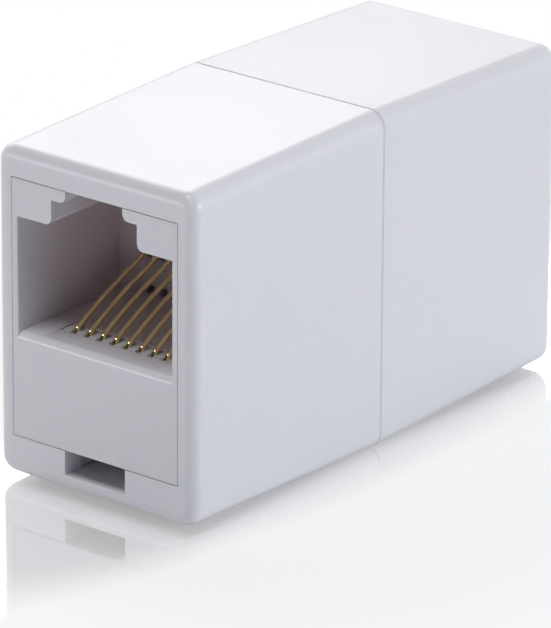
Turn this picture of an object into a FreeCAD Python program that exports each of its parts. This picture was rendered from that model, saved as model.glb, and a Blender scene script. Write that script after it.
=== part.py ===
"""RJ45 inline coupler: two jack inserts back to back in a two-piece moulded shell.

Millimetres, +Z up, the cable line along Y.  The origin is the middle of the underside at the
seam.  Both halves are the same set of pieces: each piece is drawn once, in the front half, with
"forward" as the distance from the seam plane towards the front end face and heights measured
from the centre line.  The rear half's pieces are the same ones turned half round.
"""
import FreeCAD, Part
import Sketcher
import os
import re
from math import cos, pi, radians, sin, tan

# Driving dimensions: name, millimetres or degrees, what it is.
SIZES = (
    ("length", 36.2, "end face to end face"),
    ("seam_height", 22.1, "over the shell at the seam"),
    ("side_taper", 0.145, "each side draws in by this from the seam to an end"),
    ("roof_taper", 0.43, "top and bottom draw in by this from the seam to an end"),
    ("wall", 1.2, "side wall of the shell"),
    ("roof_wall", 1.0, "top and bottom wall of the shell"),
    ("end_wall", 1.5, "end wall of the shell"),
    ("long_radius", 1.1, "rounding of the four long edges"),
    ("end_radius", 0.8, "rounding of the edges round an end face"),
    ("seam_chamfer", 0.09, "bevel of each shell's rim, which shows as the seam line"),
    ("tongue_length", 1.2, "reach of the front shell's tongue into the rear shell"),
    ("top_rim", 1.87, "end face above the window"),
    ("bottom_rim", 2.6, "end face below the window"),
    ("slot_width", 4.74, "release slot in the rim below the window"),
    ("fit_gap", 0.05, "clearance round a moulded piece in another"),
    ("plug_width", 12.02, "plug opening, across"),
    ("jack_wall", 0.415, "wall of the insert beside the plug opening"),
    ("plug_height", 7.48, "plug opening, sill to shoulders"),
    ("plug_depth", 9.5, "plug opening, end face to comb wall"),
    ("shoulder_drop", 2.4, "top of the insert's nose down to the plug shoulders"),
    ("latch_width", 6.68, "wide step of the latch channel"),
    ("latch_rise", 1.63, "wide step above the plug shoulders"),
    ("tab_width", 4.44, "narrow step of the latch channel"),
    ("catch_depth", 1.2, "thickness of the catch that holds the plug's latch"),
    ("step_radius", 0.45, "rounding of the two steps' corners"),
    ("mouth_radius", 0.1, "rounding round the mouth of the opening"),
    ("sill_radius", 0.45, "rounding of the sill's front edge"),
    ("plate", 2.15, "front plate below the opening"),
    ("trench_drop", 0.12, "fall of the trench from the sill to the comb"),
    ("floor_slab", 0.64, "floor of the plug opening"),
    ("comb_wall", 1.4, "wall behind the plug opening"),
    ("comb_length", 1.2, "front comb, along the wires"),
    ("comb_end", 0.844, "front comb beyond the first and last contact"),
    ("comb_drop", 0.08, "tops of the comb's teeth below the sill"),
    ("tooth_bevel", 0.12, "bevel on the front of each tooth"),
    ("carrier_step", 0.5, "contact carrier beyond the comb, each side"),
    ("carrier_height", 3.2, "contact carrier, over its block"),
    ("carrier_length", 9.4, "contact carrier, along the wires"),
    ("ledge", 0.8, "ledge that the carrier rests on, each side"),
    ("bottom_web", 1.2, "insert's bottom under the cored-out space"),
    ("top_web", 1.2, "insert's top over the tail space"),
    ("post_length", 2.4, "insert's posts, from its back to the board"),
    ("post_width", 1.15, "insert's posts, across"),
    ("post_height", 2.4, "insert's posts, up and down"),
    ("contact_spacing", 1.016, "contact to contact"),
    ("wire", 0.36, "contact wire, across its flats"),
    ("seat_gap", 0.02, "clearance under a wire in its groove, and round it in the solder"),
    ("groove_width", 0.44, "grooves and slots for the wires"),
    ("bend_radius", 0.55, "hairpin at the front of a contact, on the wire's centre line"),
    ("bend_room", 0.13, "space between the hairpin and the front plate"),
    ("rise_angle", 26, "slope of the contact's spring arm up to its bend"),
    ("arm_length", 2.84, "that part of the arm, from the hairpin to the bend"),
    ("arm_radius", 3.5, "bend of the arm, on the wire's centre line"),
    ("tip_angle", 23.1, "slope of the arm from its bend to its tip"),
    ("tip_length", 0.6, "how far the arm's tip goes into its slot in the comb wall"),
    ("tip_room", 0.9, "depth of that slot"),
    ("tip_play", 0.85, "slot above and below the tip's centre"),
    ("vent_width", 0.8, "vents in the comb wall, across"),
    ("vent_low", 0.2, "vents in the comb wall, lower edge above the sill"),
    ("vent_high", 0.85, "vents in the comb wall, upper edge above the sill"),
    ("row_gap", 2.54, "between the two rows of tails"),
    ("jog_start", 1.3, "straight tail between the board and the jog"),
    ("jog_radius", 0.8, "bends of the jog, on the wire's centre line"),
    ("jog_angle", 34, "slope of the jog"),
    ("tail", 0.65, "tail past the board"),
    ("board", 1.2, "thickness of the link board"),
    ("board_margin", 0.325, "board's side edges inside the insert's sides"),
    ("board_clear", 2.32, "board's top edge below the insert's top"),
    ("board_edge", 2.565, "board's bottom edge below the lower row of tails"),
    ("hole_width", 0.53, "plated hole for a tail, across its flats"),
    ("solder_width", 0.8, "solder fillet where it wets the board"),
    ("solder_top", 0.47, "solder fillet where it leaves the wire"),
    ("solder_height", 0.45, "solder fillet along the wire"),
)
CONTACTS = 8

document = FreeCAD.newDocument("InlineCoupler")
sheet = document.addObject("Spreadsheet::Sheet", "Sizes")
for row, (alias, number, meaning) in enumerate(SIZES, start=1):
    sheet.set(f"A{row}", meaning)
    sheet.set(f"B{row}", str(number))
    sheet.setAlias(f"B{row}", alias)
document.recompute()
NAMES = {alias for alias, number, meaning in SIZES}

# Places worked out from the sizes, as expressions.
FRONT = "(length / 2)"
INSIDE = "(length / 2 - end_wall)"
END_SIDE = "(plug_width / 2 + jack_wall + fit_gap + wall)"
SEAM_SIDE = f"({END_SIDE} + side_taper)"
END_TOP = "(seam_height / 2 - roof_taper)"
WINDOW_SIDE = f"({END_SIDE} - wall)"
WINDOW_TOP = f"({END_TOP} - top_rim)"
WINDOW_BOTTOM = f"(bottom_rim - {END_TOP})"
CEILING = f"({END_TOP} - roof_wall)"
NOSE_SIDE = f"({WINDOW_SIDE} - fit_gap)"
NOSE_TOP = f"({WINDOW_TOP} - fit_gap)"
NOSE_BOTTOM = f"({WINDOW_BOTTOM} + fit_gap)"
BLOCK_TOP = f"({CEILING} - 2 * fit_gap)"
SHOULDER = f"({NOSE_TOP} - shoulder_drop)"
SILL = f"({SHOULDER} - plug_height)"
LATCH_TOP = f"({SHOULDER} + latch_rise)"
COMB_FACE = f"({FRONT} - plug_depth)"
PLATE_BACK = f"({FRONT} - plate)"
SLAB_UNDER = f"({SILL} - floor_slab)"
CARRIER_TOP = f"({SLAB_UNDER} - fit_gap)"
CARRIER_UNDER = f"({CARRIER_TOP} - carrier_height)"
FIRST_CONTACT = f"(-contact_spacing * {(CONTACTS - 1) / 2})"
COMB_SIDE = f"(comb_end - {FIRST_CONTACT})"
CARRIER_SIDE = f"({COMB_SIDE} + carrier_step)"
BAY_SIDE = f"({CARRIER_SIDE} + fit_gap)"
BLOCK_BACK = "(board / 2 + post_length)"
UPPER_ROW = f"({CARRIER_TOP} - wire / 2)"
LOWER_ROW = f"({UPPER_ROW} - row_gap)"
BOARD_SIDE = f"({NOSE_SIDE} - board_margin)"
BOARD_TOP = f"({BLOCK_TOP} - board_clear)"
BOARD_BOTTOM = f"({LOWER_ROW} - board_edge)"
BEND_CENTRE = f"({PLATE_BACK} - bend_room - wire / 2 - bend_radius)"
TIP = f"({COMB_FACE} - tip_length)"
ARM_BEND = (f"({BEND_CENTRE} + bend_radius * sin(rise_angle) - arm_length * cos(rise_angle)"
            " - arm_radius * (sin(rise_angle) - sin(tip_angle)))")
ARM_BEND_HEIGHT = (f"({UPPER_ROW} + bend_radius * (1 + cos(rise_angle))"
                   " + arm_length * sin(rise_angle)"
                   " + arm_radius * (cos(tip_angle) - cos(rise_angle)))")
TIP_HEIGHT = f"({ARM_BEND_HEIGHT} + ({ARM_BEND} - {TIP}) * tan(tip_angle))"


def cells(text):
    """The expression with each size's name turned into its cell on the sheet."""
    return re.sub(r"[a-z][a-z_]*",
                  lambda word: f"Sizes.{word[0]}" if word[0] in NAMES else word[0], text)


def value(text):
    """The number that an expression gives."""
    result = sheet.evalExpression(cells(text))
    return float(getattr(result, "Value", result))


def new_body(label, turned):
    """A body on the centre line, turned half round if it belongs to the rear half."""
    body = document.addObject("PartDesign::Body", label)
    body.Label = label
    half_turn = FreeCAD.Rotation(FreeCAD.Vector(0, 0, 1), 180 if turned else 0)
    body.Placement = FreeCAD.Placement(FreeCAD.Vector(), half_turn)
    body.setExpression("Placement.Base.z", cells("seam_height / 2"))
    return body


def new_sketch(body, plane, offset="0"):
    """A sketch on one of the body's own planes: XZ is offset forward, XY up and YZ to +X."""
    sketch = body.newObject("Sketcher::SketchObject", f"{body.Label}_sketch")
    support = [each for each in body.Origin.OriginFeatures if each.Role == f"{plane}_Plane"]
    sketch.AttachmentSupport = [(support[0], "")]
    sketch.MapMode = "FlatFace"
    sketch.setExpression("AttachmentOffset.Base.z", cells(offset))
    return sketch


def tie(sketch, kind, place, text):
    """A dimension on the sketch, bound to an expression; an angle is given in degrees."""
    number = radians(value(text)) if kind == "Angle" else value(text)
    index = sketch.addConstraint(Sketcher.Constraint(kind, *place, number))
    sketch.setExpression(f"Constraints[{index}]", cells(text))


def draw_outline(sketch, corners):
    """A closed outline of straight lines through corners, each an (across, up) pair."""
    points = [FreeCAD.Vector(value(across), value(up), 0) for across, up in corners]
    count = len(points)
    lines = [sketch.addGeometry(Part.LineSegment(points[i], points[(i + 1) % count]))
             for i in range(count)]
    for i, (across, up) in enumerate(corners):
        following = lines[(i + 1) % count]
        sketch.addConstraint(Sketcher.Constraint("Coincident", lines[i], 2, following, 1))
        tie(sketch, "DistanceX", (-1, 1, lines[i], 1), across)
        tie(sketch, "DistanceY", (-1, 1, lines[i], 1), up)


def draw_rectangle(sketch, left, right, low, high):
    draw_outline(sketch, [(left, low), (right, low), (right, high), (left, high)])


def draw_octagon(sketch, across, up, width):
    """Eight flats in place of a round too fine to need more."""
    reach = f"({width}) / 2 / cos(22.5)"
    draw_outline(sketch, [(f"{across} + {reach} * cos({angle})", f"{up} + {reach} * sin({angle})")
                          for angle in (22.5 + 45 * i for i in range(8))])


def extrude(body, kind, sketch, length, reverse=False, both_ways=False):
    """A Pad or a Pocket.  From an XZ sketch a Pad grows forward and a Pocket cuts backward."""
    feature = body.newObject(f"PartDesign::{kind}", f"{body.Label}_{kind}")
    feature.Profile = sketch
    feature.setExpression("Length", cells(length))
    feature.Reversed = reverse
    feature.Midplane = both_ways
    document.recompute()
    return feature


def repeat(body, feature, sketch, spacing, copies):
    """Copies of a feature along +X."""
    pattern = body.newObject("PartDesign::LinearPattern", f"{body.Label}_pattern")
    pattern.Originals = [feature]
    pattern.Direction = (sketch, ["H_Axis"])
    pattern.setExpression("Length", cells(f"({spacing}) * {copies - 1}"))
    pattern.Occurrences = copies
    body.Tip = pattern
    document.recompute()
    return pattern


def edges_at(feature, places):
    """Names of the edges that pass through the given (x, forward, height) places."""
    names = []
    for place in places:
        x, forward, height = (value(text) for text in place)
        vertex = Part.Vertex(x, -forward, height)
        distances = [edge.distToShape(vertex)[0] for edge in feature.Shape.Edges]
        names.append(f"Edge{distances.index(min(distances)) + 1}")
    return sorted(set(names))


def edges_in_plane(feature, forward):
    """Names of the edges that lie in the plane at the given distance forward."""
    plane = -value(forward)
    return [f"Edge{number}" for number, edge in enumerate(feature.Shape.Edges, start=1)
            if abs(edge.BoundBox.YMin - plane) < 1e-4 and abs(edge.BoundBox.YMax - plane) < 1e-4]


def dress(body, kind, size_name, feature, edge_names):
    """A Fillet or a Chamfer on edges of a feature."""
    property_name = "Radius" if kind == "Fillet" else "Size"
    result = body.newObject(f"PartDesign::{kind}", f"{body.Label}_{kind}")
    result.Base = (feature, edge_names)
    result.setExpression(property_name, cells(size_name))
    document.recompute()
    return result


def wedge(body, kind, forward, end_section, seam_section):
    """A drafted block from the seam plane forward; each section is half its width and height."""
    feature = body.newObject(f"PartDesign::{kind}Wedge", f"{body.Label}_wedge")
    feature.setExpression("Ymin", cells(f"-{forward}"))
    feature.Ymax = 0
    for name, section in (("", end_section), ("2", seam_section)):
        for axis, half in zip("XZ", section):
            feature.setExpression(f"{axis}{name}min", cells(f"-{half}"))
            feature.setExpression(f"{axis}{name}max", cells(half))
    document.recompute()
    return feature


def half_shell(label, turned, has_tongue):
    """One moulded half of the shell: drafted outside and in, with a window for the insert."""
    body = new_body(label, turned)

    block = wedge(body, "Additive", FRONT, (END_SIDE, END_TOP),
                  (SEAM_SIDE, "(seam_height / 2)"))
    side = f"({END_SIDE} + side_taper / 2)"
    top = "(seam_height / 2 - roof_taper / 2)"
    middle = "(length / 4)"
    corners = [(f"{a}{side}", middle, f"{b}{top}") for a in ("", "-") for b in ("", "-")]
    rounded = dress(body, "Fillet", "long_radius", block, edges_at(block, corners))
    rounded_end = dress(body, "Fillet", "end_radius", rounded, edges_in_plane(rounded, FRONT))
    bevelled = dress(body, "Chamfer", "seam_chamfer", rounded_end,
                     edges_in_plane(rounded_end, "0"))

    room = (f"({SEAM_SIDE} - wall)", "(seam_height / 2 - roof_wall)")
    wedge(body, "Subtractive", INSIDE, (WINDOW_SIDE, CEILING), room)

    window = new_sketch(body, "XZ", FRONT)
    draw_rectangle(window, f"-{WINDOW_SIDE}", WINDOW_SIDE, WINDOW_BOTTOM, WINDOW_TOP)
    extrude(body, "Pocket", window, "end_wall")
    slot = new_sketch(body, "XZ", FRONT)
    draw_rectangle(slot, "-slot_width / 2", "slot_width / 2", f"-{CEILING}",
                   f"({WINDOW_BOTTOM} + {WINDOW_TOP}) / 2")
    extrude(body, "Pocket", slot, "end_wall")

    joint = new_sketch(body, "XZ")
    draw_rectangle(joint, f"-{room[0]}", room[0], f"-{room[1]}", room[1])
    gap = "fit_gap" if has_tongue else "0"
    outer = (f"({SEAM_SIDE} - wall / 2 - {gap})", f"(seam_height / 2 - roof_wall / 2 - {gap})")
    draw_rectangle(joint, f"-{outer[0]}", outer[0], f"-{outer[1]}", outer[1])
    if has_tongue:
        extrude(body, "Pad", joint, "tongue_length", reverse=True)
    else:
        extrude(body, "Pocket", joint, "tongue_length + fit_gap", reverse=True)
    return body


def jack_insert(label, turned):
    """The moulded jack: plug opening with its latch channel, floor, comb wall and carrier bay."""
    body = new_body(label, turned)

    block = new_sketch(body, "XZ", BLOCK_BACK)
    draw_rectangle(block, f"-{NOSE_SIDE}", NOSE_SIDE, f"-{BLOCK_TOP}", BLOCK_TOP)
    extrude(body, "Pad", block, f"{INSIDE} - {BLOCK_BACK}")
    nose = new_sketch(body, "XZ", INSIDE)
    draw_rectangle(nose, f"-{NOSE_SIDE}", NOSE_SIDE, NOSE_BOTTOM, NOSE_TOP)
    extrude(body, "Pad", nose, "end_wall")
    passage = new_sketch(body, "XZ", INSIDE)
    passage_side = "(slot_width / 2 + fit_gap)"
    draw_rectangle(passage, f"-{passage_side}", passage_side, f"-{CEILING}", NOSE_BOTTOM)
    extrude(body, "Pocket", passage, FRONT)

    plug = new_sketch(body, "XZ", FRONT)
    draw_rectangle(plug, "-plug_width / 2", "plug_width / 2", SILL, SHOULDER)
    extrude(body, "Pocket", plug, "plug_depth")
    for half_width, top in (("latch_width / 2", LATCH_TOP), ("tab_width / 2", CEILING)):
        step = new_sketch(body, "XZ", FRONT)
        draw_rectangle(step, f"-{half_width}", half_width, f"{SHOULDER} - latch_rise", top)
        channel = extrude(body, "Pocket", step, "plug_depth")
    corners = []
    for sign in ("", "-"):
        corners += [(f"{sign}latch_width / 2", f"{FRONT} - catch_depth", SHOULDER),
                    (f"{sign}tab_width / 2", f"{FRONT} - catch_depth", LATCH_TOP)]
    stepped = dress(body, "Fillet", "step_radius", channel, edges_at(channel, corners))

    mouth = [("0", FRONT, SILL)]
    softened = dress(body, "Fillet", "sill_radius", stepped, edges_at(stepped, mouth))
    middle = f"(({SILL} + {SHOULDER}) / 2)"
    mouth = [("plug_width / 2", FRONT, middle), ("-plug_width / 2", FRONT, middle)]
    dress(body, "Fillet", "mouth_radius", softened, edges_at(softened, mouth))

    catch = new_sketch(body, "XZ", f"{FRONT} - catch_depth")
    draw_rectangle(catch, "-latch_width / 2", "latch_width / 2", f"{SHOULDER} + step_radius", CEILING)
    extrude(body, "Pocket", catch, "plug_depth - catch_depth")

    tails = new_sketch(body, "XZ", BLOCK_BACK)
    draw_rectangle(tails, f"-{BAY_SIDE}", BAY_SIDE, CARRIER_UNDER, f"{BLOCK_TOP} - top_web")
    extrude(body, "Pocket", tails, f"{COMB_FACE} - comb_wall - {BLOCK_BACK}", reverse=True)
    bay = new_sketch(body, "XZ", BLOCK_BACK)
    draw_rectangle(bay, f"-{BAY_SIDE}", BAY_SIDE, CARRIER_UNDER, SLAB_UNDER)
    extrude(body, "Pocket", bay, f"{PLATE_BACK} - {BLOCK_BACK}", reverse=True)
    core = new_sketch(body, "XZ", BLOCK_BACK)
    core_side = f"({BAY_SIDE} - ledge)"
    draw_rectangle(core, f"-{core_side}", core_side, f"{NOSE_BOTTOM} + bottom_web", SLAB_UNDER)
    extrude(body, "Pocket", core, f"{PLATE_BACK} - {BLOCK_BACK}", reverse=True)

    comb_side = f"({COMB_SIDE} + fit_gap)"
    aperture = new_sketch(body, "XY", SILL)
    draw_rectangle(aperture, f"-{comb_side}", comb_side, f"-{PLATE_BACK}",
                   f"comb_length - {PLATE_BACK}")
    extrude(body, "Pocket", aperture, "floor_slab")
    trench = new_sketch(body, "YZ")
    draw_outline(trench, [(f"sill_radius - {FRONT}", SILL), (f"-{PLATE_BACK}", SILL),
                          (f"-{PLATE_BACK}", f"{SILL} - trench_drop")])
    extrude(body, "Pocket", trench, f"2 * {comb_side}", both_ways=True)

    tip_low = f"({TIP_HEIGHT} - tip_play)"
    tip_high = f"({TIP_HEIGHT} + tip_play)"
    for width, low, high, depth in (
            ("groove_width", tip_low, tip_high, "tip_room"),
            ("vent_width", f"{SILL} + vent_low", f"{SILL} + vent_high", "comb_wall")):
        slot = new_sketch(body, "XZ", COMB_FACE)
        draw_rectangle(slot, f"{FIRST_CONTACT} - {width} / 2", f"{FIRST_CONTACT} + {width} / 2",
                       low, high)
        cut = extrude(body, "Pocket", slot, depth)
        repeat(body, cut, slot, "contact_spacing", CONTACTS)

    for side in ("", "-"):
        for low in (f"({BOARD_TOP} - post_height)", BOARD_BOTTOM):
            post = new_sketch(body, "XZ", BLOCK_BACK)
            edges = sorted((f"{side}{BOARD_SIDE}", f"{side}({BOARD_SIDE} - post_width)"), key=value)
            draw_rectangle(post, *edges, low, f"{low} + post_height")
            extrude(body, "Pad", post, "post_length", reverse=True)
    return body


def contact_carrier(label, turned):
    """The comb and grooves that hold the eight contacts under the floor of the jack."""
    body = new_body(label, turned)
    front = f"({PLATE_BACK} - fit_gap)"
    block = new_sketch(body, "XZ", f"{front} - carrier_length")
    draw_rectangle(block, f"-{CARRIER_SIDE}", CARRIER_SIDE, CARRIER_UNDER, CARRIER_TOP)
    extrude(body, "Pad", block, "carrier_length")

    teeth = new_sketch(body, "YZ")
    back = f"({PLATE_BACK} - comb_length + fit_gap)"
    tooth_top = f"({SILL} - comb_drop)"
    draw_outline(teeth, [(f"-{front}", f"{CARRIER_TOP} - wire"),
                         (f"-{back}", f"{CARRIER_TOP} - wire"),
                         (f"-{back}", tooth_top),
                         (f"tooth_bevel - {front}", tooth_top),
                         (f"-{front}", f"{tooth_top} - tooth_bevel")])
    extrude(body, "Pad", teeth, f"2 * {COMB_SIDE}", both_ways=True)

    groove = new_sketch(body, "XZ", front)
    draw_rectangle(groove, f"{FIRST_CONTACT} - groove_width / 2",
                   f"{FIRST_CONTACT} + groove_width / 2",
                   f"{UPPER_ROW} - wire / 2 - seat_gap", SILL)
    cut = extrude(body, "Pocket", groove, "carrier_length")
    repeat(body, cut, groove, "contact_spacing", CONTACTS)
    return body


class Chain:
    """Lines and arcs drawn end to end in a sketch, each tangent to the one before."""

    def __init__(self, sketch):
        self.sketch = sketch
        self.exit = None

    def join(self, piece, entry, exit_point):
        if self.exit:
            self.sketch.addConstraint(Sketcher.Constraint("Tangent", *self.exit, piece, entry))
        self.exit = (piece, exit_point)
        return piece

    def line(self, start, end):
        return self.join(self.sketch.addGeometry(Part.LineSegment(start, end)), 1, 2)

    def arc(self, centre, radius, low_angle, high_angle, backwards=False):
        circle = Part.Circle(centre, FreeCAD.Vector(0, 0, 1), value(radius))
        piece = self.sketch.addGeometry(Part.ArcOfCircle(circle, low_angle, high_angle))
        self.join(piece, *((2, 1) if backwards else (1, 2)))
        tie(self.sketch, "Radius", (piece,), radius)
        return piece


def draw_contact_path(sketch, in_lower_row):
    """The wire's centre line: tail, jog up if it is in the lower row, hairpin, spring arm."""
    chain = Chain(sketch)
    upper = value(UPPER_ROW)
    row = LOWER_ROW if in_lower_row else UPPER_ROW
    tail_end = "(board / 2 + tail)"
    start = FreeCAD.Vector(value(tail_end), value(row), 0)
    bend = FreeCAD.Vector(-value(BEND_CENTRE), upper + value("bend_radius"), 0)
    run_end = FreeCAD.Vector(bend.x, upper, 0)
    first = None
    if in_lower_row:
        jog = value("jog_radius")
        steep = radians(value("jog_angle"))
        turn = FreeCAD.Vector(-sin(steep), -cos(steep), 0) * jog
        bend_start = "-(board / 2 + jog_start)"
        corner = FreeCAD.Vector(value(bend_start), start.y, 0)
        low_centre = corner + FreeCAD.Vector(0, jog, 0)
        slope_start = low_centre + turn
        climb = value("row_gap") - 2 * (jog + turn.y)
        slope_end = slope_start + FreeCAD.Vector(-climb / tan(steep), climb, 0)
        high_centre = slope_end + turn
        first = chain.line(start, corner)
        tie(sketch, "DistanceX", (-1, 1, first, 2), bend_start)
        sketch.addConstraint(Sketcher.Constraint("Horizontal", first))
        chain.arc(low_centre, "jog_radius", 3 * pi / 2 - steep, 3 * pi / 2, backwards=True)
        slope = chain.line(slope_start, slope_end)
        tie(sketch, "Angle", (slope,), "180 - jog_angle")
        chain.arc(high_centre, "jog_radius", pi / 2 - steep, pi / 2)
        run = chain.line(high_centre + FreeCAD.Vector(0, jog, 0), run_end)
        tie(sketch, "DistanceY", (-1, 1, run, 1), UPPER_ROW)
    else:
        run = chain.line(start, run_end)
        first = run
    sketch.addConstraint(Sketcher.Constraint("Horizontal", run))
    tie(sketch, "DistanceX", (-1, 1, first, 1), tail_end)
    tie(sketch, "DistanceY", (-1, 1, first, 1), row)

    rise = radians(value("rise_angle"))
    shallow = radians(value("tip_angle"))
    outward = FreeCAD.Vector(-sin(rise), cos(rise), 0)
    hairpin = chain.arc(bend, "bend_radius", pi / 2 + rise, 3 * pi / 2, backwards=True)
    tie(sketch, "DistanceX", (-1, 1, hairpin, 3), f"-{BEND_CENTRE}")
    arm_start = bend + outward * value("bend_radius")
    arm_end = arm_start + FreeCAD.Vector(cos(rise), sin(rise), 0) * value("arm_length")
    arm = chain.line(arm_start, arm_end)
    tie(sketch, "Angle", (arm,), "rise_angle")
    tie(sketch, "Distance", (arm,), "arm_length")
    chain.arc(arm_end - outward * value("arm_radius"), "arm_radius",
              pi / 2 + shallow, pi / 2 + rise, backwards=True)
    bend_end = FreeCAD.Vector(-value(ARM_BEND), value(ARM_BEND_HEIGHT), 0)
    tip = chain.line(bend_end, FreeCAD.Vector(-value(TIP), value(TIP_HEIGHT), 0))
    tie(sketch, "Angle", (tip,), "tip_angle")
    tie(sketch, "DistanceX", (-1, 1, tip, 2), f"-{TIP}")


def contact(label, turned, number):
    """One gold-plated wire, swept along its path.  Odd contacts have their tails lower."""
    body = new_body(label, turned)
    in_lower_row = number % 2 == 1
    across = f"({number - (CONTACTS + 1) / 2} * contact_spacing)"
    path = new_sketch(body, "YZ", across)
    draw_contact_path(path, in_lower_row)
    section = new_sketch(body, "XZ", "-(board / 2 + tail)")
    draw_octagon(section, across, LOWER_ROW if in_lower_row else UPPER_ROW, "wire")
    wire = body.newObject("PartDesign::AdditivePipe", f"{label}_sweep")
    wire.Profile = section
    wire.Spine = (path, [])
    document.recompute()
    return body


def link_board(label):
    """The circuit board that joins contact to contact, with a row of holes for each row of tails."""
    body = new_body(label, False)
    blank = new_sketch(body, "XZ")
    draw_rectangle(blank, f"-{BOARD_SIDE}", BOARD_SIDE, BOARD_BOTTOM, BOARD_TOP)
    extrude(body, "Pad", blank, "board", both_ways=True)
    for row in (UPPER_ROW, LOWER_ROW):
        hole = new_sketch(body, "XZ", "board / 2")
        draw_octagon(hole, FIRST_CONTACT, row, "hole_width")
        cut = extrude(body, "Pocket", hole, "board")
        repeat(body, cut, hole, "contact_spacing", CONTACTS)
    return body


def solder_joints(label, turned):
    """A fillet of solder round each tail, on the far face of the board."""
    body = new_body(label, turned)
    body.AllowCompound = True
    for number, row in ((1, LOWER_ROW), (2, UPPER_ROW)):
        across = f"({number - (CONTACTS + 1) / 2} * contact_spacing)"
        fillet = new_sketch(body, "XZ", "-board / 2")
        draw_octagon(fillet, across, row, "solder_width")
        pad = extrude(body, "Pad", fillet, "solder_height", reverse=True)
        lean = "-atan((solder_width - solder_top) / 2 / solder_height)"
        pad.setExpression("TaperAngle", cells(lean))
        repeat(body, pad, fillet, "2 * contact_spacing", CONTACTS // 2)
        bore = new_sketch(body, "XZ", "-(board / 2 + solder_height)")
        draw_octagon(bore, across, row, "wire + 2 * seat_gap")
        cut = extrude(body, "Pocket", bore, "solder_height", reverse=True)
        repeat(body, cut, bore, "2 * contact_spacing", CONTACTS // 2)
    return body


pieces = [link_board("link_board")]
for half, turned in (("front", False), ("rear", True)):
    pieces.append(half_shell(f"{half}_shell", turned, has_tongue=not turned))
    pieces.append(jack_insert(f"{half}_jack_insert", turned))
    pieces.append(contact_carrier(f"{half}_contact_carrier", turned))
    pieces.append(solder_joints(f"{half}_solder_joints", turned))
    for number in range(1, CONTACTS + 1):
        pieces.append(contact(f"{half}_contact_{number}", turned, number))

document.recompute()
for each in document.Objects:
    if "Invalid" in each.State or "Error" in each.State:
        raise RuntimeError(f"{each.Name} has failed: {each.State}")
for piece in pieces:
    if piece.Shape.isNull() or not piece.Shape.isValid():
        raise RuntimeError(f"{piece.Label} has no valid shape")

os.makedirs("parts", exist_ok=True)
for piece in pieces:
    piece.Shape.exportStep(f"parts/{piece.Label}.step")
    size = piece.Shape.BoundBox
    print(f"{piece.Label}: {len(piece.Shape.Solids)} solid(s), {piece.Shape.Volume:.2f} mm3,"
          f" x {size.XMin:.2f} {size.XMax:.2f} y {size.YMin:.2f} {size.YMax:.2f}"
          f" z {size.ZMin:.2f} {size.ZMax:.2f}")
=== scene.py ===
"""RJ45 inline coupler: the looks of its moulded shells, jacks, contact wires, board and solder.

Metres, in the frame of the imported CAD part: cable line along Y, front port at -Y, +Z up.
"""
import math

import bpy
from mathutils import Matrix, Vector


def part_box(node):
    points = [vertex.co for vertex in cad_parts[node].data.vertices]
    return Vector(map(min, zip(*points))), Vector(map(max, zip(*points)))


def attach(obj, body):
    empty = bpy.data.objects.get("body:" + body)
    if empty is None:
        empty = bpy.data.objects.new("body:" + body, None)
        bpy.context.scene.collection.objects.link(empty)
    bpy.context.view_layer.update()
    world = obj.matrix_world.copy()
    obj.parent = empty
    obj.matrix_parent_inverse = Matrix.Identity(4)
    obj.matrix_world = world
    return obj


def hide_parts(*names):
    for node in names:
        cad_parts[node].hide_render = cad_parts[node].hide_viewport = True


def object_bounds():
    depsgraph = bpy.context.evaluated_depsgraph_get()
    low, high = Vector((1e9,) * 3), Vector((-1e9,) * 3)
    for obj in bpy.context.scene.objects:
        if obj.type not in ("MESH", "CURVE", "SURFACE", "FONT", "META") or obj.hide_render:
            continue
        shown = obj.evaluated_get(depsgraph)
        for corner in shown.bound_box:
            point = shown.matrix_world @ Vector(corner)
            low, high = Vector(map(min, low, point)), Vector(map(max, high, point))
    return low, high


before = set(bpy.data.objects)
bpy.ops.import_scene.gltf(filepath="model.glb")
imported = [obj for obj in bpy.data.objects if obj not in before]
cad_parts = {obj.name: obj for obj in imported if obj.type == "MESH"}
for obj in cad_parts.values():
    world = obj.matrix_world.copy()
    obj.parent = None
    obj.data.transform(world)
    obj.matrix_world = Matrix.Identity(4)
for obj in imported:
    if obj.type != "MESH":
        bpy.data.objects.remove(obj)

cad_box = [list(corner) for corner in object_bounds()]
MM = 0.001
HALF_TURN = Matrix.Rotation(math.pi, 4, "Z")
HALVES = ("front", "rear")
WHITE = (1, 1, 1)


# --- Node helpers -------------------------------------------------------------------------
def socket(group, name, kind, value=None, is_output=False):
    """A named input or output on a node group."""
    made = group.interface.new_socket(name, in_out="OUTPUT" if is_output else "INPUT",
                                      socket_type=f"NodeSocket{kind}")
    if value is not None:
        made.default_value = value


def feed(tree, value, into):
    """Links a node's output to an input, or sets the input to a plain value."""
    if isinstance(value, bpy.types.NodeSocket):
        tree.links.new(value, into)
    else:
        into.default_value = value


def worked_out(tree, operation, *values):
    """The result of a Math node, from outputs and plain numbers."""
    step = tree.nodes.new("ShaderNodeMath")
    step.operation = operation
    for value, into in zip(values, step.inputs):
        feed(tree, value, into)
    return step.outputs["Value"]


def mapped(tree, value, start, end, low, high, easing="LINEAR"):
    """Low to high, and no further, while the value goes from start to end."""
    span = tree.nodes.new("ShaderNodeMapRange")
    span.interpolation_type = easing
    for name, number in (("From Min", start), ("From Max", end),
                         ("To Min", low), ("To Max", high)):
        span.inputs[name].default_value = number
    feed(tree, value, span.inputs["Value"])
    return span.outputs["Result"]


def place_on(tree):
    """The place on the piece, in metres."""
    return tree.nodes.new("ShaderNodeTexCoord").outputs["Object"]


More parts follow.
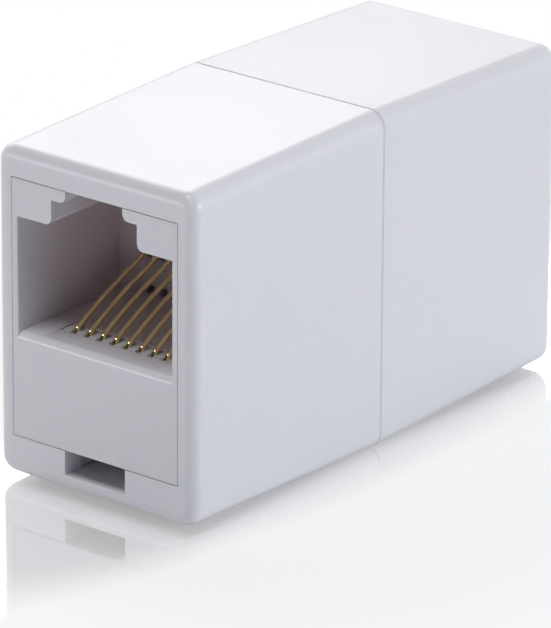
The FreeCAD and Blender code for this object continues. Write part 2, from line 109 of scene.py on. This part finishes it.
def noise(tree, place, scale, detail=2):
    """A cloudy value between 0 and 1."""
    cloud = tree.nodes.new("ShaderNodeTexNoise")
    cloud.inputs["Detail"].default_value = detail
    feed(tree, place, cloud.inputs["Vector"])
    feed(tree, scale, cloud.inputs["Scale"])
    return cloud.outputs["Fac"]


def two_tones(tree, value, first, second):
    """A colour that goes from the first tone to the second with the value."""
    tone = tree.nodes.new("ShaderNodeValToRGB")
    tone.color_ramp.elements[0].color = (*first, 1)
    tone.color_ramp.elements[1].color = (*second, 1)
    feed(tree, value, tone.inputs["Fac"])
    return tone.outputs["Color"]


def bumped(tree, height, depth, shader):
    """Gives a shader fine relief of the given depth."""
    bump = tree.nodes.new("ShaderNodeBump")
    bump.inputs["Distance"].default_value = depth
    feed(tree, height, bump.inputs["Height"])
    feed(tree, bump.outputs["Normal"], shader.inputs["Normal"])


def new_material(name):
    """A new material, with its node tree and its Principled BSDF."""
    made = bpy.data.materials.new(name)
    made.use_nodes = True
    return made, made.node_tree, made.node_tree.nodes["Principled BSDF"]


# --- Shell halves -------------------------------------------------------------------------
# Two white half shells that meet at a tongue-and-rebate seam round the middle.  Their skin has
# an even, very shallow grain and a soft gloss, and lets a little light into the plastic.
GRAIN_DETAIL = 3
DRIFT_SCALE = 90
DRIFT_ROUGHNESS = 0.12
PLASTIC_IOR = 1.5
LIGHT_SHARE = 0.4
LIGHT_REACH = 0.45 * MM
LIGHT_REACH_RGB = (1, 0.9, 0.88)


def moulded_skin():
    """Shader group for a moulded skin: shallow grain, slow drift of tone, uneven gloss."""
    group = bpy.data.node_groups.new("moulded_skin", "ShaderNodeTree")
    socket(group, "Plastic", "Color", (0.8, 0.8, 0.8, 1))
    socket(group, "Shade", "Color", (0.7, 0.7, 0.7, 1))
    socket(group, "Grain size", "Float", 0.1 * MM)
    socket(group, "Least roughness", "Float", 0.4)
    socket(group, "Color", "Color", is_output=True)
    socket(group, "Roughness", "Float", is_output=True)
    socket(group, "Height", "Float", is_output=True)
    given, result = group.nodes.new("NodeGroupInput"), group.nodes.new("NodeGroupOutput")
    place = place_on(group)
    frequency = worked_out(group, "DIVIDE", 1, given.outputs["Grain size"])
    grain = noise(group, place, frequency, GRAIN_DETAIL)
    drift = noise(group, place, DRIFT_SCALE)
    tone = group.nodes.new("ShaderNodeMix")
    tone.data_type = "RGBA"
    feed(group, drift, tone.inputs["Factor"])
    feed(group, given.outputs["Plastic"], tone.inputs["A"])
    feed(group, given.outputs["Shade"], tone.inputs["B"])
    uneven = worked_out(group, "MULTIPLY_ADD", drift, DRIFT_ROUGHNESS,
                        given.outputs["Least roughness"])
    feed(group, tone.outputs["Result"], result.inputs["Color"])
    feed(group, uneven, result.inputs["Roughness"])
    feed(group, grain, result.inputs["Height"])
    return group


SKIN = moulded_skin()


def moulded_plastic(name, plastic, shade, grain_size, grain_depth, roughness):
    """A moulded plastic: its two tones, the grain of its skin and the least roughness it has."""
    made, tree, shader = new_material(name)
    shader.inputs["IOR"].default_value = PLASTIC_IOR
    shader.inputs["Subsurface Weight"].default_value = LIGHT_SHARE
    shader.inputs["Subsurface Scale"].default_value = LIGHT_REACH
    shader.inputs["Subsurface Radius"].default_value = LIGHT_REACH_RGB
    skin = tree.nodes.new("ShaderNodeGroup")
    skin.node_tree = SKIN
    skin.inputs["Plastic"].default_value = (*plastic, 1)
    skin.inputs["Shade"].default_value = (*shade, 1)
    skin.inputs["Grain size"].default_value = grain_size
    skin.inputs["Least roughness"].default_value = roughness
    feed(tree, skin.outputs["Color"], shader.inputs["Base Color"])
    feed(tree, skin.outputs["Roughness"], shader.inputs["Roughness"])
    bumped(tree, skin.outputs["Height"], grain_depth, shader)
    return made


def finish_node(node, material):
    """Gives a CAD node its material."""
    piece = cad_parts[node]
    for place in piece.material_slots:
        place.material = material


white_abs = moulded_plastic("white_abs", plastic=(0.80, 0.80, 0.85), shade=(0.775, 0.775, 0.83),
                            grain_size=0.12 * MM, grain_depth=0.0012 * MM, roughness=0.3)
for half in HALVES:
    finish_node(f"{half}_shell", white_abs)


# --- Jack inserts -------------------------------------------------------------------------
# One white moulding in each end: plug opening, stepped latch channel, catch and front plate.
# Painted shade darkens and warms the plastic from the mouth inwards, and both places are measured
# from the middle.
# The colour of the painted shade, multiplied into the plastic deep inside the insert.
INSIDE_PAINTED_SHADE = (0.90, 0.80, 0.79)
MOUTH = 17.2 * MM
DEEP_INSIDE = 13.8 * MM


def paint_inside_shade(material):
    """Paints shade into the insert, warmer and darker with depth, though it is one plastic."""
    tree = material.node_tree
    shader = tree.nodes["Principled BSDF"]
    plastic = shader.inputs["Base Color"].links[0].from_socket
    parts = tree.nodes.new("ShaderNodeSeparateXYZ")
    feed(tree, place_on(tree), parts.inputs["Vector"])
    outward = worked_out(tree, "ABSOLUTE", parts.outputs["Y"])
    # Painted shade: the plastic's colour is multiplied by a darker, warmer tint deeper inside.
    painted_shade = tree.nodes.new("ShaderNodeMix")
    painted_shade.data_type = "RGBA"
    painted_shade.blend_type = "MULTIPLY"
    painted_shade.inputs["B"].default_value = (*INSIDE_PAINTED_SHADE, 1)
    feed(tree, mapped(tree, outward, MOUTH, DEEP_INSIDE, 0, 1), painted_shade.inputs["Factor"])
    feed(tree, plastic, painted_shade.inputs["A"])
    feed(tree, painted_shade.outputs["Result"], shader.inputs["Base Color"])


white_insert = moulded_plastic("white_insert", plastic=(0.775, 0.775, 0.825),
                               shade=(0.75, 0.75, 0.80), grain_size=0.15 * MM,
                               grain_depth=0.0015 * MM, roughness=0.2)
paint_inside_shade(white_insert)
for half in HALVES:
    finish_node(f"{half}_jack_insert", white_insert)


# --- Contact carriers ---------------------------------------------------------------------
# A nylon comb and block under the floor of each jack.  It keeps the eight wires apart and is
# a little creamier and duller than the shell.
nylon = moulded_plastic("carrier_nylon", plastic=(0.78, 0.78, 0.80), shade=(0.74, 0.73, 0.74),
                        grain_size=0.2 * MM, grain_depth=0.004 * MM, roughness=0.45)
for half in HALVES:
    finish_node(f"{half}_contact_carrier", nylon)


# --- Contact wires ------------------------------------------------------------------------
# Eight round, gold-plated wires in each jack, each with a tail through the board, a run under
# the floor, a hairpin at the comb and a bowed spring arm.
CONTACTS = 8
WIRE_SIDES = 20
HAIRPIN = 0.5 * MM
ARM_START_SLOPE = math.radians(30.5)
ARM_END_SLOPE = math.radians(22)
ARM_BOW = 37 * MM
ARM_TIP = 8.0 * MM
JOG_START = 1.9 * MM
JOG_BEND = 0.8 * MM
JOG_SLOPE = math.radians(34)
BEND_STEP = math.radians(6)
BOW_STEP = math.radians(1.5)
FEWEST_STEPS = 3
UPWARDS = 0.5 * math.pi
DOWNWARDS = 1.5 * math.pi

# The plating's fine lines: how often they change across, along and up, and how deep they are.
LINE_CHANGES = (9000, 400, 1200)
LINE_DEPTH = 0.0003 * MM
GOLD_TONES = ((0.84, 0.65, 0.34), (0.96, 0.76, 0.43))
GOLD_ROUGHNESS = (0.04, 0.09)


def arc(centre, radius, start, end, step=BEND_STEP):
    """Points round an arc in the plane of the wire, from one angle to another."""
    steps = max(FEWEST_STEPS, math.ceil(abs(end - start) / step))
    angles = (start + (end - start) * each / steps for each in range(steps + 1))
    return [(centre[0] + radius * math.cos(a), centre[1] + radius * math.sin(a))
            for a in angles]


def wire_path(tail_end, front, row, upper_row):
    """The wire's centre line as (y, z) in the front half, from its tail to its arm's tip."""
    points = [(tail_end, row)]
    if row < upper_row:
        low = (-JOG_START, row + JOG_BEND)
        points += arc(low, JOG_BEND, DOWNWARDS, DOWNWARDS - JOG_SLOPE)
        climb = upper_row - row - 2 * JOG_BEND * (1 - math.cos(JOG_SLOPE))
        high = (points[-1][0] - climb / math.tan(JOG_SLOPE) - JOG_BEND * math.sin(JOG_SLOPE),
                upper_row - JOG_BEND)
        points += arc(high, JOG_BEND, UPWARDS - JOG_SLOPE, UPWARDS)
    hairpin = (front + HAIRPIN, upper_row + HAIRPIN)
    points += arc(hairpin, HAIRPIN, DOWNWARDS, UPWARDS + ARM_START_SLOPE)
    inward = HAIRPIN - ARM_BOW
    bow = (hairpin[0] - inward * math.sin(ARM_START_SLOPE),
           hairpin[1] + inward * math.cos(ARM_START_SLOPE))
    points += arc(bow, ARM_BOW, UPWARDS + ARM_START_SLOPE, UPWARDS + ARM_END_SLOPE, BOW_STEP)[1:]
    last_y, last_z = points[-1]
    points.append((-ARM_TIP, last_z + (-ARM_TIP - last_y) * math.tan(ARM_END_SLOPE)))
    return points


def drawn_wire():
    """Geometry Nodes: a round wire along a path, with a smooth skin and closed ends."""
    tree = bpy.data.node_groups.new("drawn_wire", "GeometryNodeTree")
    socket(tree, "Path", "Geometry")
    socket(tree, "Wire radius", "Float", 0.2 * MM)
    socket(tree, "Sides", "Int", WIRE_SIDES)
    socket(tree, "Plating", "Material")
    socket(tree, "Wire", "Geometry", is_output=True)
    add, link = tree.nodes.new, tree.links.new
    given, result = add("NodeGroupInput"), add("NodeGroupOutput")
    section = add("GeometryNodeCurvePrimitiveCircle")
    sweep = add("GeometryNodeCurveToMesh")
    sweep.inputs["Fill Caps"].default_value = True
    smooth = add("GeometryNodeSetShadeSmooth")
    plated = add("GeometryNodeSetMaterial")
    whole = add("GeometryNodeRealizeInstances")
    link(given.outputs["Wire radius"], section.inputs["Radius"])
    link(given.outputs["Sides"], section.inputs["Resolution"])
    link(given.outputs["Path"], sweep.inputs["Curve"])
    link(section.outputs["Curve"], sweep.inputs["Profile Curve"])
    link(sweep.outputs["Mesh"], smooth.inputs["Geometry"])
    link(smooth.outputs["Geometry"], whole.inputs["Geometry"])
    link(whole.outputs["Geometry"], plated.inputs["Geometry"])
    link(given.outputs["Plating"], plated.inputs["Material"])
    link(plated.outputs["Geometry"], result.inputs["Wire"])
    return tree


def through_nodes(name, source, tree, settings):
    """A plain mesh object: what the tree makes of the source with the named settings."""
    maker = bpy.data.objects.new(f"{name}_maker", source)
    bpy.context.scene.collection.objects.link(maker)
    modifier = maker.modifiers.new("shape", "NODES")
    modifier.node_group = tree
    for item in tree.interface.items_tree:
        if item.item_type == "SOCKET" and item.name in settings:
            modifier[item.identifier] = settings[item.name]
    scene_now = bpy.context.evaluated_depsgraph_get()
    mesh = bpy.data.meshes.new_from_object(maker.evaluated_get(scene_now))
    bpy.data.objects.remove(maker)
    piece = bpy.data.objects.new(name, mesh)
    bpy.context.scene.collection.objects.link(piece)
    return piece


def gold_plate():
    """Polished gold plating: warm, with faint fine lines along the wire."""
    made, tree, shader = new_material("gold_plate")
    shader.inputs["Metallic"].default_value = 1
    stretch = tree.nodes.new("ShaderNodeMapping")
    stretch.inputs["Scale"].default_value = LINE_CHANGES
    feed(tree, place_on(tree), stretch.inputs["Vector"])
    lines = noise(tree, stretch.outputs["Vector"], 1)
    feed(tree, two_tones(tree, lines, *GOLD_TONES), shader.inputs["Base Color"])
    feed(tree, mapped(tree, lines, 0, 1, *GOLD_ROUGHNESS), shader.inputs["Roughness"])
    bumped(tree, lines, LINE_DEPTH, shader)
    return made


def route_curve(name, across, route):
    """A curve through the points of a wire's centre line, at its place across the jack."""
    path = bpy.data.curves.new(name, "CURVE")
    path.dimensions = "3D"
    line = path.splines.new("POLY")
    line.points.add(len(route) - 1)
    for point, (y, z) in zip(line.points, route):
        point.co = (across, y, z, 1)
    return path


wire_tree = drawn_wire()
gold = gold_plate()
for half in HALVES:
    # The rear wires are drawn as front ones and turned half round.  Odd wires start in the lower
    # row and even ones in the upper row.
    side = 1 if half == "front" else -1
    row_lows = [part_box(f"{half}_contact_{number}")[0].z for number in (1, 2)]
    for number in range(1, CONTACTS + 1):
        node = f"{half}_contact_{number}"
        low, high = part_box(node)
        wire_radius = (high.x - low.x) / 2
        across = side * (low.x + high.x) / 2
        front, tail_end = sorted((side * low.y, side * high.y))
        route = wire_path(tail_end, front + wire_radius, low.z + wire_radius,
                          max(row_lows) + wire_radius)
        wire = through_nodes(f"{node}_wire", route_curve(f"{node}_path", across, route),
                             wire_tree, {"Wire radius": wire_radius, "Plating": gold})
        if half == "rear":
            wire.data.transform(HALF_TURN)
        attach(wire, "root")
        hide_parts(node)


# --- Link board ---------------------------------------------------------------------------
# Glass-epoxy board with green solder mask, standing across the middle between the jacks.
WEAVE_SCALE = 900
WEAVE_DISTORTION = 2
MASK_COAT = 0.4
MASK_TONES = ((0.010, 0.11, 0.045), (0.016, 0.15, 0.06))
MASK_ROUGHNESS = (0.3, 0.42)


def solder_mask():
    """Green lacquer over a glass weave, which shows faintly through it."""
    made, tree, shader = new_material("green_board")
    shader.inputs["Coat Weight"].default_value = MASK_COAT
    weave = tree.nodes.new("ShaderNodeTexWave")
    weave.inputs["Scale"].default_value = WEAVE_SCALE
    weave.inputs["Distortion"].default_value = WEAVE_DISTORTION
    feed(tree, place_on(tree), weave.inputs["Vector"])
    threads = weave.outputs["Fac"]
    feed(tree, two_tones(tree, threads, *MASK_TONES), shader.inputs["Base Color"])
    feed(tree, mapped(tree, threads, 0, 1, *MASK_ROUGHNESS), shader.inputs["Roughness"])
    return made


finish_node("link_board", solder_mask())


# --- Solder joints ------------------------------------------------------------------------
# Tin solder, drawn up each tail into a small bright cone on the far face of the board.
SOLDER_GREY = (0.62, 0.62, 0.6)
FROST_SCALE = 6000
SOLDER_ROUGHNESS = (0.15, 0.4)


def tin_solder():
    """Tin, frosted in places."""
    made, tree, shader = new_material("tin_solder")
    shader.inputs["Metallic"].default_value = 1
    shader.inputs["Base Color"].default_value = (*SOLDER_GREY, 1)
    frost = noise(tree, place_on(tree), FROST_SCALE)
    feed(tree, mapped(tree, frost, 0, 1, *SOLDER_ROUGHNESS), shader.inputs["Roughness"])
    return made


solder = tin_solder()
for half in HALVES:
    finish_node(f"{half}_solder_joints", solder)


# --- Studio: table ------------------------------------------------------------------------
# A white table that runs out to a white background.  A reach is the half-axes of an ellipse
# round the coupler, and a fade starts and ends at two shares of its reach.
TABLE_REACH = 3.0
TABLE_WHITE = (0.88, 0.88, 0.89)
MIRROR_SHARE = 0.5
MIRROR_REACH = (0.0115, 0.040)
MIRROR_FADE = (0.7, 1.05)
MIRROR_SLANT = (0.2, 0.55)
MIRROR_ROUGHNESS = 0.06
GLOW_NEAR = 0.72
GLOW_REACH = (0.05, 0.05)
GLOW_FADE = (0.4, 1.2)


def fade(tree, place, reach, near, far, start, end):
    """A value that goes from near to far across an ellipse round the coupler."""
    squeeze = tree.nodes.new("ShaderNodeVectorMath")
    squeeze.operation = "DIVIDE"
    squeeze.inputs[1].default_value = (*reach, 1)
    distance = tree.nodes.new("ShaderNodeVectorMath")
    distance.operation = "LENGTH"
    feed(tree, place, squeeze.inputs[0])
    feed(tree, squeeze.outputs["Vector"], distance.inputs[0])
    return mapped(tree, distance.outputs["Value"], start, end, near, far, "SMOOTHSTEP")


def mixed(tree, share, first, second):
    """A shader that is the second one by the given share, and the first one otherwise."""
    mix = tree.nodes.new("ShaderNodeMixShader")
    feed(tree, share, mix.inputs["Fac"])
    feed(tree, first.outputs[0], mix.inputs[1])
    feed(tree, second.outputs[0], mix.inputs[2])
    return mix


def white_table():
    """A white top: matt to all but the camera, which sees it glow, wholly so further out.

    Close to the coupler it is part mirror, and only at shallow angles.
    """
    made, tree, _ = new_material("white_table")
    tree.nodes.clear()
    place = place_on(tree)
    matt = tree.nodes.new("ShaderNodeBsdfDiffuse")
    matt.inputs["Color"].default_value = (*TABLE_WHITE, 1)
    mirror = tree.nodes.new("ShaderNodeBsdfGlossy")
    mirror.inputs["Color"].default_value = (*WHITE, 1)
    mirror.inputs["Roughness"].default_value = MIRROR_ROUGHNESS
    white = tree.nodes.new("ShaderNodeEmission")
    seen = tree.nodes.new("ShaderNodeLightPath")
    slant = tree.nodes.new("ShaderNodeLayerWeight")
    glow = worked_out(tree, "MULTIPLY", fade(tree, place, GLOW_REACH, GLOW_NEAR, 1, *GLOW_FADE),
                      seen.outputs["Is Camera Ray"])
    shallow = mapped(tree, slant.outputs["Facing"], *MIRROR_SLANT, 0, 1)
    polish = worked_out(tree, "MULTIPLY", shallow,
                        fade(tree, place, MIRROR_REACH, MIRROR_SHARE, 0, *MIRROR_FADE))
    whole = mixed(tree, polish, mixed(tree, glow, matt, white), mirror)
    result = tree.nodes.new("ShaderNodeOutputMaterial")
    feed(tree, whole.outputs[0], result.inputs["Surface"])
    return made


table_mesh = bpy.data.meshes.new("table")
table_mesh.from_pydata([(-TABLE_REACH, -TABLE_REACH, 0), (TABLE_REACH, -TABLE_REACH, 0),
                        (TABLE_REACH, TABLE_REACH, 0), (-TABLE_REACH, TABLE_REACH, 0)],
                       [], [(0, 1, 2, 3)])
table_mesh.materials.append(white_table())
table = bpy.data.objects.new("table", table_mesh)
bpy.context.scene.collection.objects.link(table)


# --- Studio: lamps ------------------------------------------------------------------------
# Four soft lamps: a large one behind on the left, one overhead, a cool one from the right and
# a thin, cool strip low in front on the left.
def soft_lamp(name, place, width, height, power, colour=WHITE):
    """A rectangular soft lamp that faces the coupler."""
    lamp = bpy.data.lights.new(name, "AREA")
    lamp.shape = "RECTANGLE"
    lamp.size = width
    lamp.size_y = height
    lamp.energy = power
    lamp.color = colour
    stand = bpy.data.objects.new(name, lamp)
    stand.location = place
    stand.rotation_euler = (-Vector(place)).to_track_quat("-Z", "Y").to_euler()
    bpy.context.scene.collection.objects.link(stand)


soft_lamp("back_lamp", (-0.72, 0.55, 0.6), width=0.7, height=0.6, power=5.3)
soft_lamp("top_lamp", (0.02, -0.22, 0.85), width=0.45, height=0.3, power=3.0)
soft_lamp("right_lamp", (1.05, 0.4, 0.2), width=0.5, height=0.3, power=5.2,
          colour=(0.93, 0.96, 1))
soft_lamp("edge_lamp", (-0.7, -0.98, 0.05), width=0.6, height=0.03, power=3.2,
          colour=(0.94, 0.97, 1))


# --- Studio: room -------------------------------------------------------------------------
# A half-lit wall along the back, and little light from overhead or from the front.  Its start
# and its top are soft: each runs between two values of a direction's Y or Z.
WALL_LIGHT = 0.5
DARK_LIGHT = 0.05
WALL_BEGINS = (-0.1, 0.2)
WALL_ENDS = (0.6, 0.85)


def light_room():
    """The light that falls in from all round.  The camera itself sees plain white."""
    world = bpy.data.worlds.new("room")
    world.use_nodes = True
    room = world.node_tree
    direction = room.nodes.new("ShaderNodeTexCoord")
    heading = room.nodes.new("ShaderNodeSeparateXYZ")
    feed(room, direction.outputs["Generated"], heading.inputs["Vector"])
    behind = mapped(room, heading.outputs["Y"], *WALL_BEGINS, 0, WALL_LIGHT - DARK_LIGHT)
    wall = worked_out(room, "MULTIPLY", behind,
                      mapped(room, heading.outputs["Z"], *WALL_ENDS, 1, 0))
    ray = room.nodes.new("ShaderNodeLightPath")
    brightness = room.nodes.new("ShaderNodeMix")
    brightness.inputs["B"].default_value = 1
    feed(room, ray.outputs["Is Camera Ray"], brightness.inputs["Factor"])
    feed(room, worked_out(room, "ADD", wall, DARK_LIGHT), brightness.inputs["A"])
    background = room.nodes["Background"]
    background.inputs["Color"].default_value = (*WHITE, 1)
    feed(room, brightness.outputs["Result"], background.inputs["Strength"])
    bpy.context.scene.world = world


light_room()


# --- Studio: camera -----------------------------------------------------------------------
# A long lens from above the front corner.  It aims beside the seam's centre by the two aims.
CAMERA_TURN = math.radians(38.44)
CAMERA_TILT = math.radians(21.228)
CAMERA_ROLL = math.radians(-0.365)
CAMERA_DISTANCE = 0.391
CAMERA_LENS = 361.9
AIM_RIGHT = -0.00043
AIM_DOWN = 0.0037
SEAM_CENTRE = Vector((0, 0, (cad_box[0][2] + cad_box[1][2]) / 2))


def set_camera():
    """Places the camera and makes it the scene's own."""
    towards_camera = Vector((math.sin(CAMERA_TURN) * math.cos(CAMERA_TILT),
                             -math.cos(CAMERA_TURN) * math.cos(CAMERA_TILT),
                             math.sin(CAMERA_TILT)))
    level_right = Vector((math.cos(CAMERA_TURN), math.sin(CAMERA_TURN), 0))
    level_down = level_right.cross(towards_camera)
    right = level_right * math.cos(CAMERA_ROLL) + level_down * math.sin(CAMERA_ROLL)
    down = level_down * math.cos(CAMERA_ROLL) - level_right * math.sin(CAMERA_ROLL)
    lens = bpy.data.cameras.new("camera")
    lens.lens = CAMERA_LENS
    lens.clip_start = 0.01
    lens.clip_end = 10
    camera = bpy.data.objects.new("camera", lens)
    turned = Matrix((right, -down, towards_camera)).transposed().to_4x4()
    camera.matrix_world = Matrix.Translation(
        SEAM_CENTRE + towards_camera * CAMERA_DISTANCE + right * AIM_RIGHT + down * AIM_DOWN
    ) @ turned
    bpy.context.scene.collection.objects.link(camera)
    bpy.context.scene.camera = camera
    bpy.context.scene.view_settings.view_transform = "Standard"


set_camera()
